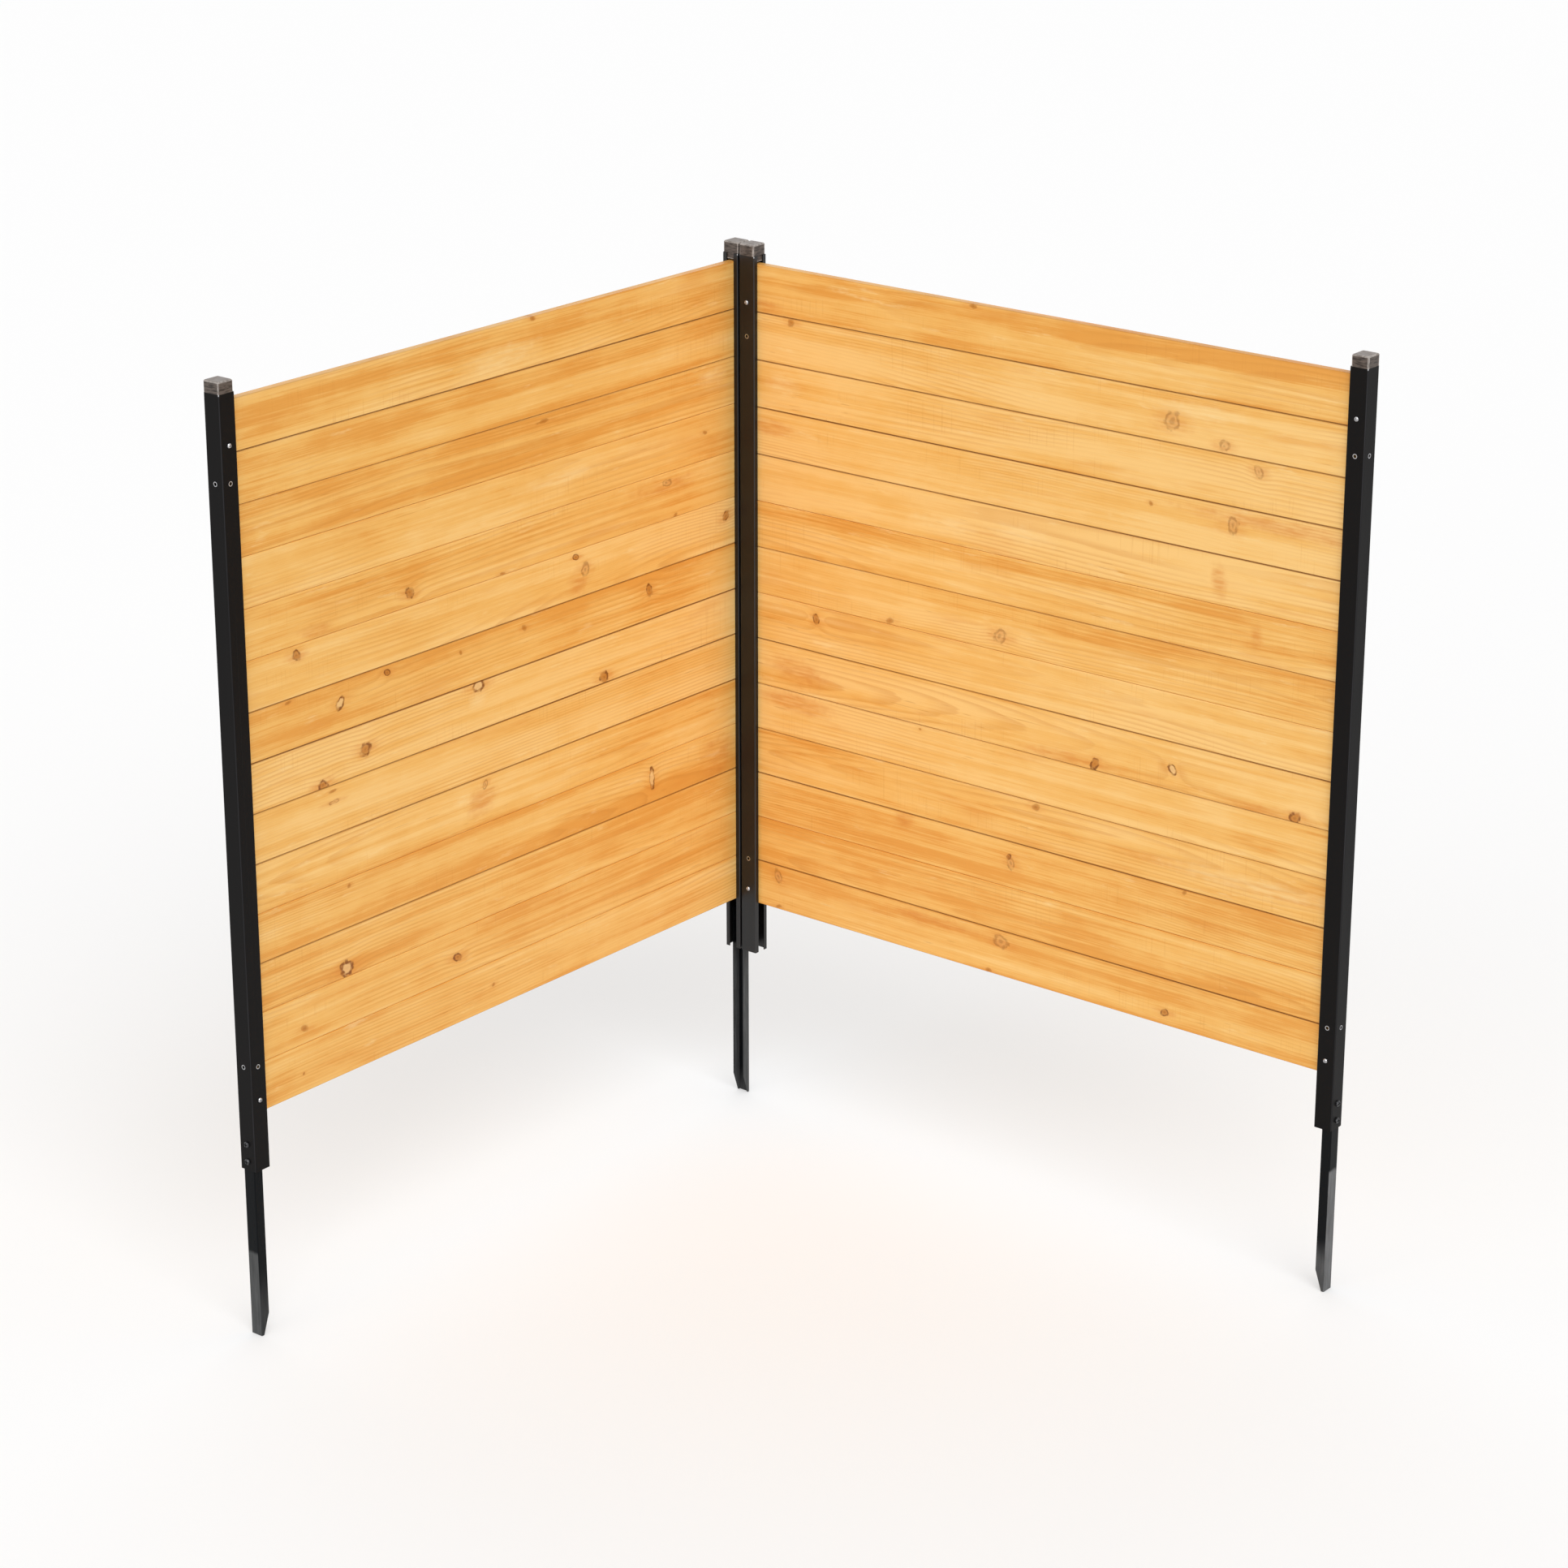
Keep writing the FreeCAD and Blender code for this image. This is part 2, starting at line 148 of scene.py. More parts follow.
# the camera that the photograph was made with, fitted with its shifted lens: the scene's has no shift
PHOTO_PLACE = Vector((2.2104, -2.7373, 2.0386))
PHOTO_YAW = 39.226
PHOTO_PITCH = 1.732
PHOTO_FOCAL = 3606.7  # in the photograph's pixels
PHOTO_MIDDLE = (966.0, -289.8)  # the pixel straight ahead of the lens, above the picture
BOARD_END = 7.2 * MM  # from the outer face of a post to the end of a board


def seen(panel, x, y, along=0, up=0):
    """The mm from the corner and above a board's foot, where the photograph's pixel x, y meets a panel.

    along and up are the mm that the mark was then moved, to meet the photograph in a render.
    """
    low, high = (Vector(corner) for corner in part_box(f"{panel}_board_01"))
    next_low, _ = (Vector(corner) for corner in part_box(f"{panel}_board_02"))
    turn = Euler((math.radians(90.0 - PHOTO_PITCH), 0.0, math.radians(PHOTO_YAW)))
    ray = turn.to_matrix() @ Vector((x - PHOTO_MIDDLE[0], PHOTO_MIDDLE[1] - y, -PHOTO_FOCAL))
    if panel == "left":
        spot = PHOTO_PLACE + ray * ((high.x - PHOTO_PLACE.x) / ray.x)
        from_corner = high.y + BOARD_END - spot.y
    else:
        spot = PHOTO_PLACE + ray * ((low.y - PHOTO_PLACE.y) / ray.y)
        from_corner = spot.x - low.x + BOARD_END
    rise = (spot.z - low.z) % (next_low.z - low.z)
    return round(from_corner / MM) + along, round(rise / MM) + up


# knots and marks ---------------------------------------------------------------------------

# how brown a knot's heart is, how pale it is, and how dark its eye and its rim are
KNOT_TINTS = ("heart", "pale", "eye", "rim")
KNOT_KINDS = {
    "tight": (0.60, 0.00, 0.30, 0.95),
    "loose": (0.12, 0.40, 0.05, 0.95),
    "soft": (0.20, 0.08, 0.35, 0.45),
    "spot": (0.60, 0.00, 0.25, 0.25),
}
# how russet the wood round a knot or a stain is, and how pale a scrape is
RUSSET_ROUND = {"tight": 0.75, "loose": 0.60, "soft": 0.60, "spot": 0.50, "stain": 0.80}
SCRAPED = 0.55

# lowest board first: (mm from the corner, mm above the board's foot, half length, half height, kind),
# with the first two worked out for the marks that were read off the photograph as pixels
KNOTS = {
    "left": {
        1: [(*seen("left", 615, 1207), 3, 3, "spot"), (860, 25, 2, 2, "spot")],
        2: [(*seen("left", 373, 1273), 6, 5, "spot"), (*seen("left", 571, 1173), 7, 6, "tight")],
        3: [(*seen("left", 430, 1193, up=1), 11, 10, "loose")],
        4: [(*seen("left", 813, 940, up=-1), 5, 15, "loose"), (60, 30, 13, 20, "stain"),
            (770, 54, 3, 3, "spot")],
        5: [(528, 34, 9, 14, "stain"), (522, 52, 4, 6, "soft")],
        6: [(790, 42, 8, 2.5, "soft"), (792, 56, 6, 2, "spot")],
        7: [(*seen("left", 408, 958, up=2), 8, 7, "tight"), (*seen("left", 463, 909), 9, 8, "tight"),
            (*seen("left", 605, 831, up=3), 10, 8, "loose"), (530, 42, 6, 8, "scrape"),
            (*seen("left", 757, 820, up=3), 8, 7, "tight")],
        8: [(*seen("left", 433, 852), 7, 8, "loose"), (*seen("left", 493, 813), 5, 4, "tight"),
            (*seen("left", 662, 757), 4.5, 4.5, "spot"), (560, 46, 3, 3, "spot"),
            (*seen("left", 812, 712), 6, 8, "tight"), (860, 60, 5, 2, "spot")],
        9: [(*seen("left", 380, 792), 7, 6, "tight"),
            (*seen("left", 728, 672, along=4, up=2), 5, 4, "tight"), (325, 34, 7, 9, "soft"),
            (338, 20, 7, 12, "stain"), (*seen("left", 905, 623, along=5), 6, 7, "tight")],
        10: [(*seen("left", 524, 713), 7, 7, "tight"), (808, 10, 9, 6, "stain"),
             (*seen("left", 835, 583, along=2), 9, 5, "soft"), (170, 46, 22, 9, "stain"),
             (146, 2, 4, 3, "spot"), (480, 2, 5, 2, "spot")],
        11: [(370, 38, 26, 6, "scrape"), (85, 37, 4, 3, "spot")],
        12: [(400, 54, 12, 2.5, "spot"), (70, 45, 9, 9, "scrape")],
        14: [(415, 61, 5, 3, "spot"), (470, 20, 22, 12, "scrape")],
    },
    "right": {
        1: [(*seen("right", 962, 1061, up=-2), 6, 10, "soft"), (302, 50, 9, 7, "stain"),
            (330, 50, 30, 5, "stain"), (*seen("right", 1229, 1147, up=-4), 11, 9, "soft"),
            (*seen("right", 1433, 1248), 6, 5, "tight"), (60, 4, 5, 3, "spot"),
            (*seen("right", 1213, 1186, along=2), 5, 3, "spot")],
        3: [(447, 42, 3.5, 4, "tight"), (*seen("right", 1237, 1049, along=3, up=-1), 6, 9, "soft"),
            (275, 54, 6, 9, "stain"), (721, 60, 4, 3, "spot")],
        4: [(*seen("right", 1268, 982, up=2), 6, 5, "spot"), (820, 30, 50, 8, "scrape")],
        5: [(90, 48, 20, 9, "stain"), (300, 58, 3, 2, "spot")],
        6: [(*seen("right", 1338, 930, up=3), 6, 8, "tight"), (545, 8, 28, 6, "stain"),
            (*seen("right", 1433, 937, up=3), 7, 7, "loose"),
            (*seen("right", 1588, 999, along=-1, up=1), 8, 7, "tight"), (845, 5, 26, 5, "stain"),
            (95, 28, 16, 14, "stain")],
        7: [(*seen("right", 1006, 750, up=3), 5, 7, "tight")],
        8: [(*seen("right", 1090, 752, along=2, up=4), 6, 4, "spot"),
            (*seen("right", 1221, 771, along=1, up=4), 9, 9, "soft")],
        9: [(812, 32, 3, 12, "stain")],
        10: [(455, 34, 18, 8, "scrape"), (340, 26, 20, 8, "scrape"), (755, 30, 4, 16, "stain")],
        11: [(652, 46, 3, 3, "spot"), (835, 50, 48, 7, "stain"), (772, 40, 8, 10, "soft"),
             (42, 40, 16, 8, "stain")],
        12: [(*seen("right", 1527, 570, up=3), 6, 8, "soft"), (68, 36, 10, 12, "scrape")],
        13: [(*seen("right", 975, 399, along=3, up=2), 6, 5, "spot"),
             (*seen("right", 1419, 511, along=2, up=5), 11, 12, "soft"),
             (*seen("right", 1483, 540, along=1, up=4), 7, 7, "soft"), (720, 45, 22, 8, "scrape")],
        14: [(*seen("right", 1188, 375, along=-5), 6, 3, "spot"), (30, 10, 12, 6, "stain")],
    },
}

# noise round the knots, in cells per metre along, into and up the board
WOBBLE_CELLS = (95, 95, 95)
PATCHY_CELLS = (130, 130, 130)
SMOKY_CELLS = (30, 200, 200)
KNOT_SLANT = 0.45
KNOT_RAGGED = 1.4
TRAIL_RAGGED = 1.2
TRAIL_STRETCH = 2.0
# how far out each zone of a mark fades, where 1 is the mark's own size
TRAIL_FADE = (0.4, 2.0)
HEART_FADE = (0.55, 1.0)
EYE_FADE = (0.10, 0.45)
RIM_PLACE = 0.88
RIM_FADE = (0.06, 0.34)
PUSH_FADE = -0.12


def knots(tree, place, spots, chance):
    """The share of each tint of a board's knots and marks, and how far they push the grain."""
    along, _, up = place
    wobble = tree.minus(tree.stretched(place, WOBBLE_CELLS, 3.0, detail=3.0), 0.5)
    patchy = tree.step(tree.stretched(place, PATCHY_CELLS, 8.0, detail=1.0), 0.35, 0.60, 0.30, 1.0)
    smoky = tree.step(tree.stretched(place, SMOKY_CELLS, 5.0, detail=2.0), 0.35, 0.65, 0.35, 1.0)
    tints = dict.fromkeys((*KNOT_TINTS, "russet", "scrape"), 0.0)
    push = 0.0

    def add(tint, mask, strength):
        if strength:
            tints[tint] = tree.math("MAXIMUM", tree.times(mask, strength), tints[tint])

    for knot_along, knot_up, half_length, half_height, kind in spots:
        rise = tree.times(tree.minus(up, knot_up * MM), 1 / (half_height * MM))
        across = tree.times(tree.minus(along, knot_along * MM), 1 / (half_length * MM))
        across = tree.plus(across, rise, chance.uniform(-KNOT_SLANT, KNOT_SLANT))
        rise = tree.times(rise, rise)

        trail = tree.times(across, 1 / TRAIL_STRETCH)
        trail = tree.math("SQRT", tree.plus(rise, trail, trail))
        trail = tree.fade(tree.plus(trail, wobble, TRAIL_RAGGED), *TRAIL_FADE)
        trail = tree.times(trail, smoky)
        if kind == "scrape":
            add("scrape", trail, SCRAPED)
            continue
        add("russet", trail, RUSSET_ROUND[kind])
        if kind == "stain":
            continue

        squared = tree.plus(rise, across, across)
        reach = tree.plus(tree.math("SQRT", squared), wobble, KNOT_RAGGED)
        heart = tree.fade(reach, *HEART_FADE)
        rim = tree.math("ABSOLUTE", tree.minus(reach, RIM_PLACE))
        rim = tree.times(tree.fade(rim, *RIM_FADE), patchy)
        eye = tree.fade(reach, *EYE_FADE)
        masks = (heart, heart, eye, rim)
        for tint, mask, strength in zip(KNOT_TINTS, masks, KNOT_KINDS[kind]):
            add(tint, mask, strength)
        if kind != "spot":
            push = tree.math("ADD", tree.math("EXPONENT", tree.times(squared, PUSH_FADE)), push)
    return tints, push


# wood --------------------------------------------------------------------------------------

BOARD_HEIGHT = 63.6 * MM
SEEDS = (5, 90)

# stain, from the lightest board to the darkest, and what lies over it
PALE = (0.930, 0.595, 0.218)
HONEY = (0.880, 0.500, 0.138)
AMBER = (0.790, 0.360, 0.070)
SCUFF = (0.960, 0.740, 0.380)
GRAIN_BROWN = (0.620, 0.240, 0.038)
RUSSET = (0.680, 0.235, 0.036)
KNOT_HEART = (0.450, 0.145, 0.010)
KNOT_BROWN = (0.180, 0.040, 0.003)
SEAM_BROWN = (0.240, 0.070, 0.008)

# a board's tone: its middle, its spread, and how far the pale and the amber boards are from it
TONE = 0.5
TONE_SPREAD = 0.06
PALER = 0.34
DARKER = 0.22
AMBER_TO_HONEY = (-0.3, 0.5)
HONEY_TO_PALE = (0.4, 1.3)
# boards are counted from the lowest, and a seam has the number of the board under it
PALE_BOARDS = {"left": (6, 7, 9), "right": (5, 6, 7, 10, 11, 12, 13)}
AMBER_BOARDS = {"left": (1, 2, 3, 4, 8, 12, 13, 14), "right": (1, 2, 3, 14)}
DARK_SEAMS = {"left": (3, 5, 6, 7, 8, 13), "right": (1, 3, 6, 10, 11, 12, 13)}
FAINT_SEAMS = {"left": (1, 2, 4, 9, 10, 11), "right": (2, 7, 9)}
DARK_SEAM = 0.85
PLAIN_SEAM = 0.40
SEAM_FADE = (0.3 * MM, 1.5 * MM)

# growth rings: the pith's height over a board's foot and each year's width, in metres
PITH_HEIGHTS = (-0.05, 0.11)
RING_WIDTHS = (0.0030, 0.0050)
PITH_DRIFT_CELLS = (1.5, 0, 4)
PITH_DRIFT = 0.05
PITH_DEPTH_CELLS = (0.8, 0, 0)
PITH_DEPTH = 0.10
PITH_NEAREST = -0.02
RUFFLE_CELLS = (4, 50, 80)
RUFFLE = 0.8
KNOT_PUSH = 0.8
# the part of a year over which late wood darkens, and over which it ends
LATE_WOOD_RISE = (0.35, 0.88)
LATE_WOOD_END = (0.91, 1.0)
RINGS_SHOW = (0.42, 0.64, 0.05, 0.32)

# noise: cells per metre along, into and up the board, detail, roughness, and where it starts and
# ends if only its peaks count
GRAINS = {
    "fibres": ((10, 900, 900), 2.0, 0.60, None),
    "streaks": ((1.7, 90, 150), 3.0, 0.65, None),
    "bands": ((1.0, 14, 42), 2.0, 0.60, None),
    "cloud": ((7, 12, 16), 4.0, 0.65, None),
    "fleck patches": ((5, 20, 20), 0.0, 0.50, (0.52, 0.66)),
    "flecks": ((26, 420, 420), 1.0, 0.50, (0.69, 0.77)),
    "scuffs": ((12, 40, 70), 4.0, 0.70, (0.60, 0.76)),
    "blush": ((4, 10, 26), 3.0, 0.70, (0.56, 0.72)),
    "chatter": ((420, 6, 12), 1.0, 0.50, (0.60, 0.72)),
    "chatter patches": ((7, 30, 30), 0.0, 0.50, (0.55, 0.68)),
    "ring patches": ((3, 8, 12), 1.0, 0.50, None),
}
TONE_DRIFTS = {"bands": 2.9, "cloud": 2.0, "streaks": 1.7, "fibres": 1.5}


def growth_rings(tree, place, push, chance):
    """Where the dark late wood of each year shows: long nested arches that drift along the board."""
    up = place[2]
    pith = chance.uniform(*PITH_HEIGHTS)
    drift = tree.stretched(place, PITH_DRIFT_CELLS, chance.uniform(*SEEDS), detail=1.0)
    off_pith = tree.plus(tree.minus(up, pith), drift, PITH_DRIFT)
    depth = tree.stretched(place, PITH_DEPTH_CELLS, chance.uniform(*SEEDS), detail=0.0)
    depth = tree.plus(PITH_NEAREST, depth, PITH_DEPTH)
    squared = tree.plus(tree.times(depth, depth), off_pith, off_pith)
    ruffle = tree.stretched(place, RUFFLE_CELLS, chance.uniform(*SEEDS), detail=3.0)
    phase = tree.math("DIVIDE", tree.math("SQRT", squared), chance.uniform(*RING_WIDTHS))
    phase = tree.plus(phase, ruffle, RUFFLE)
    phase = tree.plus(phase, push, KNOT_PUSH)
    year = tree.math("FRACT", phase)
    return tree.times(tree.step(year, *LATE_WOOD_RISE), tree.fade(year, *LATE_WOOD_END))


def seam_share(panel, number):
    """How strongly stain pooled in the seam over the board with that number."""
    if number in DARK_SEAMS[panel]:
        return DARK_SEAM
    return 0.0 if number in FAINT_SEAMS[panel] else PLAIN_SEAM


def wood(panel, index, low, high):
    """One stained softwood board: growth rings, fibres, stain, knots and pooled stain at the seams."""
    chance = random.Random(f"{panel} board {index}")
    tree = Tree(f"{panel}_wood_{index:02d}")
    x, y, z = tree.position()
    if panel == "left":
        along = tree.minus(high.y + BOARD_END, y)
        depth = tree.minus(x, low.x)
    else:
        along = tree.minus(x, low.x - BOARD_END)
        depth = tree.minus(y, low.y)
    up = tree.minus(z, low.z)
    place = (along, depth, up)

    tints, push = knots(tree, place, KNOTS[panel].get(index, []), chance)
    late_wood = growth_rings(tree, place, push, chance)
    grain = {}
    for name, (cells, detail, roughness, peaks) in GRAINS.items():
        seed = chance.uniform(*SEEDS)
        grain[name] = tree.stretched(place, cells, seed, detail=detail, roughness=roughness)
        if peaks:
            grain[name] = tree.step(grain[name], *peaks)
    flecks = tree.times(grain["flecks"], grain["fleck patches"])
    chatter = tree.times(grain["chatter"], grain["chatter patches"])
    rings = tree.times(late_wood, tree.step(grain["ring patches"], *RINGS_SHOW))

    # one tone per board, which then drifts along the grain
    tone = TONE + chance.uniform(-TONE_SPREAD, TONE_SPREAD)
    tone += PALER * (index in PALE_BOARDS[panel]) - DARKER * (index in AMBER_BOARDS[panel])
    for name, strength in TONE_DRIFTS.items():
        tone = tree.plus(tone, tree.minus(grain[name], 0.5), strength)
    colour = tree.mix(tree.step(tone, *AMBER_TO_HONEY), AMBER, HONEY)
    colour = tree.mix(tree.step(tone, *HONEY_TO_PALE), colour, PALE)
    colour = tree.mix(rings, colour, GRAIN_BROWN)
    for share, strength, tint in (
        (grain["scuffs"], 0.40, SCUFF),
        (grain["blush"], 0.22, RUSSET),
        (chatter, 0.14, GRAIN_BROWN),
        (flecks, 0.30, KNOT_HEART),
        (tints["russet"], 0.75, RUSSET),
        (tints["scrape"], 0.75, SCUFF),
        (tints["heart"], 1.0, KNOT_HEART),
        (tints["pale"], 1.0, SCUFF),
        (tints["eye"], 0.8, KNOT_BROWN),
        (tints["rim"], 0.9, KNOT_BROWN),
    ):
        colour = tree.mix(tree.times(share, strength), colour, tint)

    over = tree.minus(BOARD_HEIGHT, up)
    pool = tree.step(grain["streaks"], 0.35, 0.65, 0.55, 1.0)
    for edge, number in ((up, index - 1), (over, index)):
        darkness = tree.times(pool, seam_share(panel, number))
        colour = tree.mix(tree.times(tree.fade(edge, *SEAM_FADE), darkness), colour, SEAM_BROWN)

    height = tree.plus(tree.times(late_wood, 0.5), grain["fibres"], 0.5)
    return tree.finish(
        colour,
        roughness=tree.spread(grain["streaks"], 0.44, 0.56),
        normal=tree.bump(height, distance=0.12 * MM, strength=0.6),
        Specular_IOR_Level=0.22,
        Coat_Weight=0.05,
        Coat_Roughness=0.3,
    )


# metal and plastic -------------------------------------------------------------------------

POST_HALF = 12.5 * MM
POST_TOP = 1.204
JOIN_MIDDLE = 0.7295  # height half way between the two rows of joining holes
JOIN_HALF = 0.367
RIM_RADIUS = 2.75 * MM
RIM_BLUR = 0.4 * MM
# how far the painted highlight along a fold reaches
FOLD_FADE = (0.3 * MM, 1.4 * MM)
BARE_CORNER_FADE = (0.6 * MM, 1.2 * MM)
BARE_CORNER_DOWN = (2.2 * MM, 1.2 * MM)
COAT_BLACK = (0.0070, 0.0064, 0.0064)
# the grey of the painted highlight along the posts' folds
FOLD_HIGHLIGHT = (0.050, 0.050, 0.054)
BARE_ZINC = (0.62, 0.62, 0.64)
CORNER_GLOSS = 0.40
OUTER_GLOSS = 0.07

CAP_DARK = (0.026, 0.018, 0.014)
CAP_GREY = (0.115, 0.090, 0.075)
# painted light: the cap's top face is painted lighter, and its corners, top edges and foot rim get a
# painted highlight
CAP_LIT_TOP = (0.150, 0.122, 0.105)
CAP_HIGHLIGHT = (0.400, 0.360, 0.330)

STAKE_BLACK = (0.006, 0.007, 0.008)
# how ragged the top of the painted floor reflection is
REFLECTION_RAGGED = 6 * MM
# the grey of a painted reflection of the floor on a stake's lower part, and on the faces across X and
# across Y its top, its blur and its strength
STAKE_FLOOR_REFLECTION = {
    "left_outer_stake": ((0.095, 0.097, 0.098), ((0.060, 0.040, 0.45), (0.113, 0.003, 1.0))),
    "right_outer_stake": ((0.180, 0.182, 0.184), ((0.168, 0.003, 1.0), (0.055, 0.020, 0.50))),
    "corner_stake": ((0.095, 0.097, 0.098), ((0.225, 0.003, 1.0), (0.020, 0.020, 0.50))),
}

ZINC = ((0.40, 0.40, 0.41), (0.70, 0.70, 0.72))
BLACKENED = ((0.030, 0.030, 0.032), (0.110, 0.110, 0.115))


def powder_coat(node, gloss):
    """Black powder coat on a post, with a painted highlight along its folds, and bare round its joining
    holes.
    """
    low, high = (Vector(corner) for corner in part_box(node))
    centre = (low + high) / 2
    tree = Tree(f"{node}_powder_coat")
    x, y, z = tree.position()
    place = (x, y, z)
    peel = tree.noise(tree.vector(*place), scale=1700)
    patch = tree.stretched(place, (20, 20, 4), 3.0, detail=3.0)

    # the folds are the post's four upright edges
    dx = tree.minus(x, centre.x)
    dy = tree.minus(y, centre.y)
    from_x = tree.minus(POST_HALF, tree.math("ABSOLUTE", dx))
    from_y = tree.minus(POST_HALF, tree.math("ABSOLUTE", dy))
    fold = tree.math("MAXIMUM", from_x, from_y)
    # a patchy painted highlight along each fold
    fold_highlight = tree.times(tree.fade(fold, *FOLD_FADE), tree.spread(patch, 0.35, 1.0))
    top_start, top_end = (POST_TOP - down for down in BARE_CORNER_DOWN)
    bare_corner = tree.times(tree.fade(fold, *BARE_CORNER_FADE), tree.step(z, top_start, top_end))

    rise = tree.math("ABSOLUTE", tree.minus(z, JOIN_MIDDLE))
    rise = tree.minus(rise, JOIN_HALF)
    rise = tree.times(rise, rise)
    nearest = tree.math("MINIMUM", tree.times(dx, dx), tree.times(dy, dy))
    from_hole = tree.math("SQRT", tree.math("ADD", nearest, rise))
    bare = tree.fade(from_hole, RIM_RADIUS, RIM_RADIUS + RIM_BLUR)
    bare = tree.math("MAXIMUM", bare, bare_corner)

    # the folds get their painted highlight
    colour = tree.mix(tree.times(fold_highlight, 0.8), COAT_BLACK, FOLD_HIGHLIGHT)
    return tree.finish(
        tree.mix(bare, colour, BARE_ZINC),
        roughness=tree.spread(patch, 0.30, 0.42),
        normal=tree.bump(peel, distance=0.06 * MM, strength=0.35),
        Metallic=bare,
        Specular_IOR_Level=gloss,
    )


def stake_paint(node, painted_sheen, reflection_edges):
    """Black paint on a stake, with a painted grey reflection of the floor up to a height of its own on
    each pair of faces.
    """
    tree = Tree(f"{node}_paint")
    x, y, z = tree.position()
    place = (x, y, z)
    # scuff is a noise that varies the roughness and makes the painted floor reflection patchy
    scuff = tree.stretched(place, (300, 300, 26), 2.0, detail=4.0, roughness=0.65)
    mottle = tree.stretched(place, (90, 90, 40), 5.0, detail=3.0)
    peel = tree.noise(tree.vector(*place), scale=1300)

    geometry = tree.nodes.new("ShaderNodeNewGeometry")
    split = tree.nodes.new("ShaderNodeSeparateXYZ")
    tree.links.new(geometry.outputs["True Normal"], split.inputs[0])
    across_x = tree.step(tree.math("ABSOLUTE", split.outputs[0]), 0.4, 0.6)
    across_y = tree.minus(1.0, across_x)
    # a painted grey reflection of the floor on the lower part of each face, up to a height of its own
    height = tree.plus(z, tree.minus(mottle, 0.5), REFLECTION_RAGGED)
    reflection_x, reflection_y = (
        tree.step(height, top - blur, top + blur, level, 0.0) for top, blur, level in reflection_edges
    )
    reflection = tree.math("ADD", tree.times(reflection_x, across_x), tree.times(reflection_y, across_y))
    # share is how much of the painted floor reflection shows
    share = tree.times(reflection, tree.spread(scuff, 0.6, 1.0))
    return tree.finish(
        tree.mix(share, STAKE_BLACK, painted_sheen),
        roughness=tree.plus(tree.spread(scuff, 0.26, 0.36), share, 0.25),
        normal=tree.bump(peel, distance=0.05 * MM, strength=0.4),
        Specular_IOR_Level=0.06,
    )


def cap_plastic(node):
    """Moulded grey-brown plastic with dark flow lines, a painted lighter top, and painted highlights on
    its corners, top edges and foot rim.
    """
    tree = Tree(f"{node}_plastic")
    low, high = (Vector(corner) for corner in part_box(node))
    centre = (low + high) / 2
    half = (high.x - low.x) / 2
    x, y, z = tree.position()
    place = (x, y, z)
    pebble = tree.noise(tree.vector(*place), scale=2600)
    flow = tree.stretched(place, (110, 110, 620), 4.0, detail=3.0)
    # a noise that makes the painted highlights and the painted lighter top patchy
    painted_sheen = tree.stretched(place, (240, 240, 240), 6.0, detail=3.0)

    def near(value, limit, start, end):
        """A rise that starts and ends that many mm before the limit."""
        return tree.step(value, limit - start * MM, limit - end * MM)

    dx = tree.math("ABSOLUTE", tree.minus(x, centre.x))
    dy = tree.math("ABSOLUTE", tree.minus(y, centre.y))
    corner = near(tree.math("MINIMUM", dx, dy), half, 2.4, 0.9)
    edge = near(tree.math("MAXIMUM", dx, dy), half, 2.6, 1.2)
    crown = tree.times(near(z, high.z, 2.4, 1.2), edge)
    top = near(z, high.z, 1.0, 0.3)
    foot = tree.fade(z, low.z + 0.8 * MM, low.z + 1.6 * MM)
    # painted highlights on the upright corners, the top edges and the foot rim
    painted_highlights = tree.math("MAXIMUM", tree.math("MAXIMUM", corner, crown), foot)
    painted_highlights = tree.times(painted_highlights, tree.step(painted_sheen, 0.3, 0.6, 0.25, 0.9))

    colour = tree.mix(tree.step(flow, 0.32, 0.62), CAP_DARK, CAP_GREY)
    # the top face is painted lighter, where light falls from above
    colour = tree.mix(tree.times(top, tree.spread(painted_sheen, 0.7, 1.0)), colour, CAP_LIT_TOP)
    return tree.finish(
        tree.mix(painted_highlights, colour, CAP_HIGHLIGHT),
        roughness=tree.spread(flow, 0.42, 0.56),
        normal=tree.bump(pebble, distance=0.05 * MM, strength=0.4),
        Specular_IOR_Level=0.35,
    )


def plating(name, dull, bright):
    """Plated steel with a dull film."""
    tree = Tree(name)
    film = tree.stretched(tree.position(), (500, 500, 500), 1.0, detail=3.0)
    return tree.finish(
        tree.mix(tree.step(film, 0.35, 0.65), dull, bright),
        roughness=tree.spread(film, 0.28, 0.45),
        normal=tree.bump(film, distance=0.03 * MM, strength=0.5),
        Metallic=1.0,
    )


def dress():
    """Gives each CAD node its material."""
    zinc = plating("zinc_plate", *ZINC)
    blackened = plating("blackened_steel", *BLACKENED)
    for name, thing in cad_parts.items():
        low, high = (Vector(corner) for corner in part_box(name))
        if name.endswith("_post"):
            material = powder_coat(name, CORNER_GLOSS if "corner" in name else OUTER_GLOSS)
        elif name.endswith("_stake"):
            material = stake_paint(name, *STAKE_FLOOR_REFLECTION[name])
        elif name.endswith("_cap"):
            material = cap_plastic(name)
        elif name.endswith("stake_bolts"):
            material = blackened
        elif name.endswith(("_screws", "_nuts", "_bolts", "_spacers")):
            material = zinc
        else:
            panel, _, index = name.split("_")
            material = wood(panel, int(index), low, high)
        thing.data.materials.clear()
        thing.data.materials.append(material)


# studio ------------------------------------------------------------------------------------

WHITE = (1.0, 1.0, 1.0, 1.0)
WORLD_LIGHT = 0.58  # the white room's level as light, where 1 is white to the eye
FLOOR_SPAN = 60
FLOOR_DROP = 0.5 * MM
FLOOR_ALBEDO = 0.80  # as light on the object
FLOOR_SEEN = 0.60  # to the eye, with a glow that lifts the lit floor to white and leaves its shadows
FLOOR_GLOW = 0.348
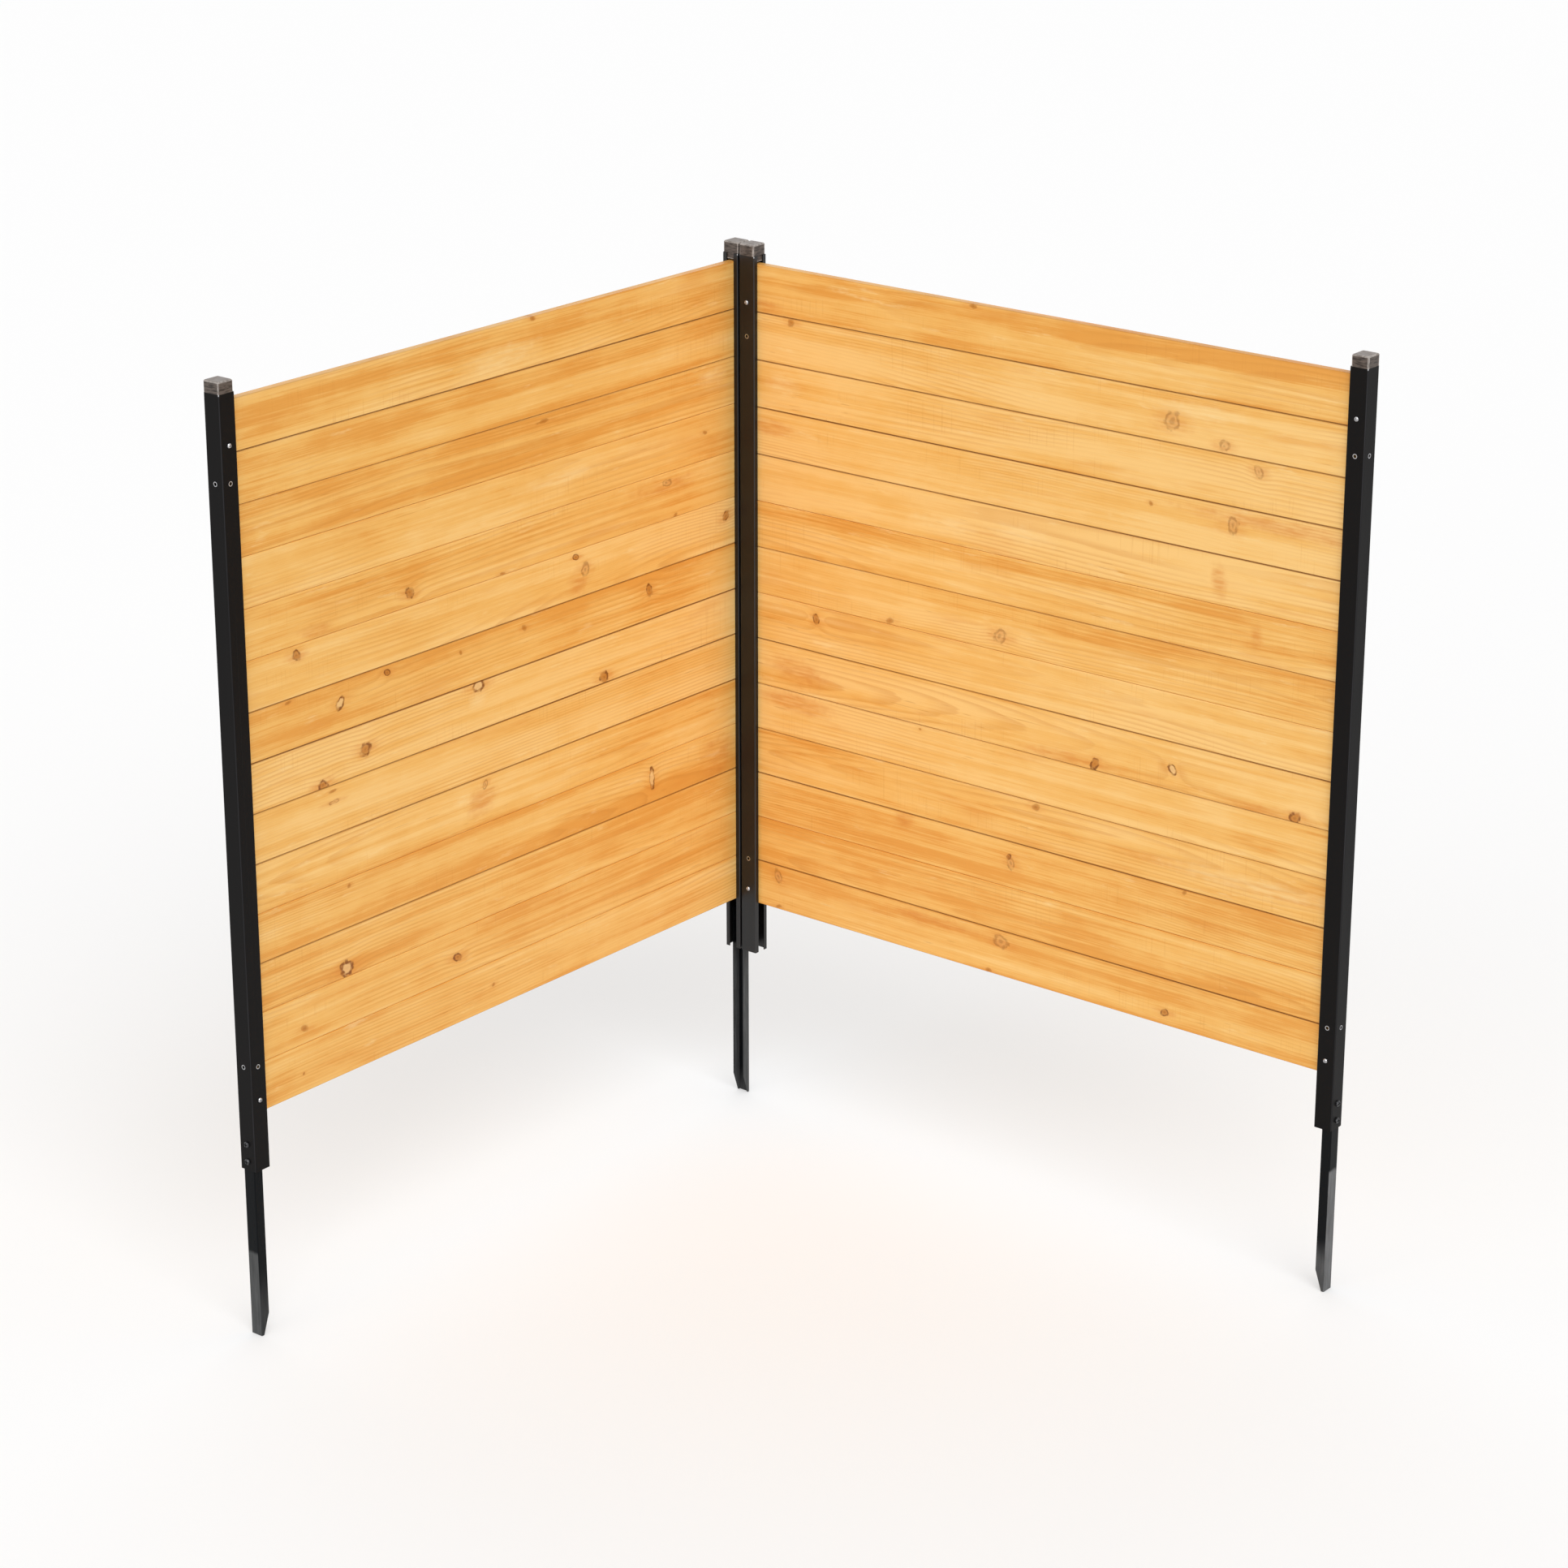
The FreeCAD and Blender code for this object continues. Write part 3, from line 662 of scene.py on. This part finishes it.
# name: where its light comes from, its spread in degrees, and its level
LAMPS = {
    "key_light": ((3.4, -2.3, 4.0), 40, 1.36),
    "fill_light": ((0.3, -4.5, 2.5), 50, 0.55),
    "back_light": ((-3.4, 3.4, 3.2), 60, 0.55),
}
CAMERA_PLACE = (2.9517, -3.6714, 2.4220)
CAMERA_YAW = 39.015
CAMERA_PITCH = 20.0415
CAMERA_LENS = 95.853
CAMERA_SENSOR = 36.0
CAMERA_REACH = 200.0


def set_by_ray(tree, levels):
    """Gives each socket one level as light, and another to camera, glossy and transmission rays."""
    light_path = tree.nodes.new("ShaderNodeLightPath")
    seen = light_path.outputs["Is Camera Ray"]
    for ray in ("Is Glossy Ray", "Is Transmission Ray"):
        either = tree.nodes.new("ShaderNodeMath")
        either.operation = "MAXIMUM"
        tree.links.new(seen, either.inputs[0])
        tree.links.new(light_path.outputs[ray], either.inputs[1])
        seen = either.outputs[0]
    for socket, as_light, to_eye in levels:
        level = tree.nodes.new("ShaderNodeMapRange")
        tree.links.new(seen, level.inputs["Value"])
        level.inputs["To Min"].default_value = as_light
        level.inputs["To Max"].default_value = to_eye
        tree.links.new(level.outputs[0], socket)


def make_world():
    """A white room: full white to the eye, and a softer level as light."""
    world = bpy.data.worlds.new("studio")
    bpy.context.scene.world = world
    world.use_nodes = True
    background = world.node_tree.nodes["Background"]
    background.inputs["Color"].default_value = WHITE
    set_by_ray(world.node_tree, [(background.inputs["Strength"], WORLD_LIGHT, 1.0)])


def make_floor():
    """A wide pale floor just under the stake tips."""
    bpy.ops.mesh.primitive_plane_add(size=FLOOR_SPAN, location=(0, 0, -FLOOR_DROP))
    floor = bpy.context.object
    floor.name = "studio_floor"
    material = bpy.data.materials.new("pale_floor")
    material.use_nodes = True
    shader = material.node_tree.nodes["Principled BSDF"]
    shader.inputs["Roughness"].default_value = 0.9
    shader.inputs["Specular IOR Level"].default_value = 0.0
    shader.inputs["Emission Color"].default_value = WHITE
    set_by_ray(material.node_tree, [
        (shader.inputs["Base Color"], FLOOR_ALBEDO, FLOOR_SEEN),
        (shader.inputs["Emission Strength"], 0.0, FLOOR_GLOW),
    ])
    floor.data.materials.append(material)


def make_lamps():
    """Broad, soft and distant lamps, which light the whole screen evenly."""
    for name, (aim_from, spread, level) in LAMPS.items():
        lamp = bpy.data.lights.new(name, "SUN")
        lamp.angle = math.radians(spread)
        lamp.energy = level
        thing = bpy.data.objects.new(name, lamp)
        bpy.context.scene.collection.objects.link(thing)
        thing.rotation_euler = (-Vector(aim_from)).to_track_quat("-Z", "Y").to_euler()


def make_camera():
    camera = bpy.data.cameras.new("camera")
    camera.lens = CAMERA_LENS
    camera.sensor_width = CAMERA_SENSOR
    camera.clip_end = CAMERA_REACH
    thing = bpy.data.objects.new("camera", camera)
    bpy.context.scene.collection.objects.link(thing)
    thing.location = CAMERA_PLACE
    thing.rotation_euler = (math.radians(90.0 - CAMERA_PITCH), 0.0, math.radians(CAMERA_YAW))
    bpy.context.scene.camera = thing


dress()
make_world()
make_floor()
make_lamps()
make_camera()
bpy.context.scene.view_settings.view_transform = "Standard"
